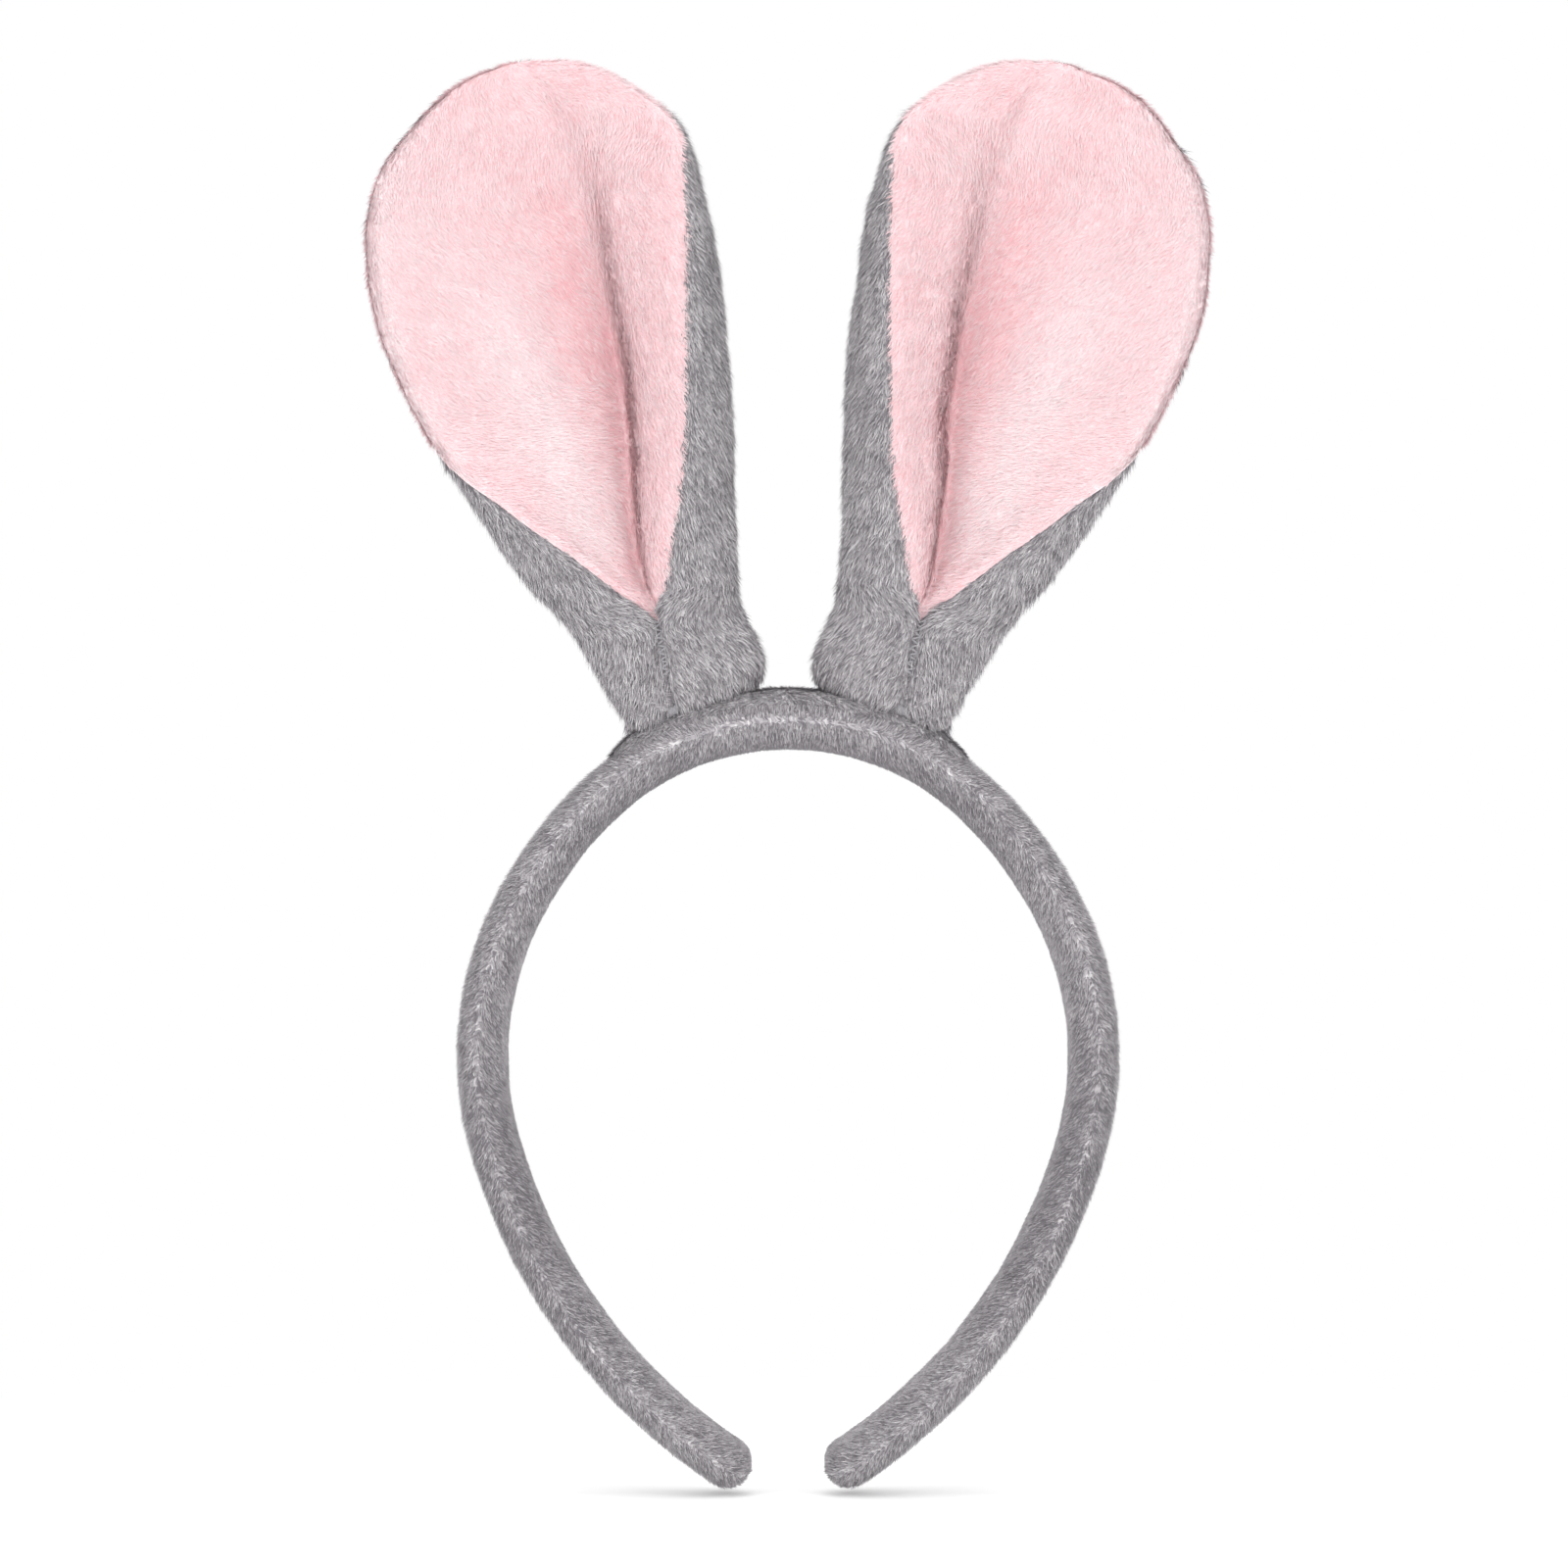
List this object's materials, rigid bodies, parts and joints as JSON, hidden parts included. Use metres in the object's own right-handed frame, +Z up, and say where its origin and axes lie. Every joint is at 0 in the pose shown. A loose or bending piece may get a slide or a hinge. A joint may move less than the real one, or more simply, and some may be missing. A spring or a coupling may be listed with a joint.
{
  "type": "plush animal ears headband",
  "caption": "Padded plush head hoop, open at the bottom, carrying a pair of tall cupped rabbit ears with contrasting lining.",
  "frame": {"origin": "the point under the crown of the band that rests on the top of the head, midway between the ears and midway across the band", "axes": "+Z up, through the crown and between the ears; +X to the right seen from the front; the front of the ears, with the lining, faces -Y"},
  "size_m": [0.1654, 0.0273, 0.2805],
  "materials": {
    "grey_plush": "short-pile velvety plush, brushed in streaks",
    "pink_plush": "short-pile velvety plush with a soft sheen",
    "foam": "thin polyurethane foam wadding",
    "filling": "loose polyester stuffing",
    "thread": "spun polyester sewing thread",
    "hoop_plastic": "injection-moulded flexible plastic"
  },
  "bodies": {
    "crown": {"core_crown": "hoop_plastic", "foam_outer_crown": "foam", "foam_inner_crown": "foam", "cover_outer_crown": "grey_plush", "cover_inner_crown": "grey_plush", "seam_thread_front_crown": "thread", "seam_thread_back_crown": "thread", "crown_patch": "grey_plush", "ear_left_base_stitches": "thread", "ear_right_base_stitches": "thread"},
    "left_arm": {"core_left": "hoop_plastic", "foam_outer_left": "foam", "foam_inner_left": "foam", "cover_outer_left": "grey_plush", "cover_inner_left": "grey_plush", "seam_thread_front_left": "thread", "seam_thread_back_left": "thread"},
    "right_arm": {"core_right": "hoop_plastic", "foam_outer_right": "foam", "foam_inner_right": "foam", "cover_outer_right": "grey_plush", "cover_inner_right": "grey_plush", "seam_thread_front_right": "thread", "seam_thread_back_right": "thread"},
    "left_ear": {"ear_left_lining": "pink_plush", "ear_left_back": "grey_plush", "ear_left_filling": "filling", "ear_left_front_stitches": "thread"},
    "right_ear": {"ear_right_lining": "pink_plush", "ear_right_back": "grey_plush", "ear_right_filling": "filling", "ear_right_front_stitches": "thread"}
  },
  "joints": [
    {"name": "left_arm_spread", "type": "hinge", "parent": "crown", "child": "left_arm", "pos_m": [-0.03347, 0, -0.00636], "axis": [0, 1, 0], "range_deg": [-1.5, 16], "stiffness_Nm_per_rad": 0.9},
    {"name": "right_arm_spread", "type": "hinge", "parent": "crown", "child": "right_arm", "pos_m": [0.03347, 0, -0.00636], "axis": [0, -1, 0], "range_deg": [-1.5, 16], "stiffness_Nm_per_rad": 0.9},
    {"name": "left_ear_tilt", "type": "hinge", "parent": "crown", "child": "left_ear", "pos_m": [-0.02102, 0, 0.01505], "axis": [0.9563, 0, 0.2924], "range_deg": [-40, 40], "stiffness_Nm_per_rad": 0.1},
    {"name": "right_ear_tilt", "type": "hinge", "parent": "crown", "child": "right_ear", "pos_m": [0.02102, 0, 0.01505], "axis": [0.9563, 0, -0.2924], "range_deg": [-40, 40], "stiffness_Nm_per_rad": 0.1}
  ]
}
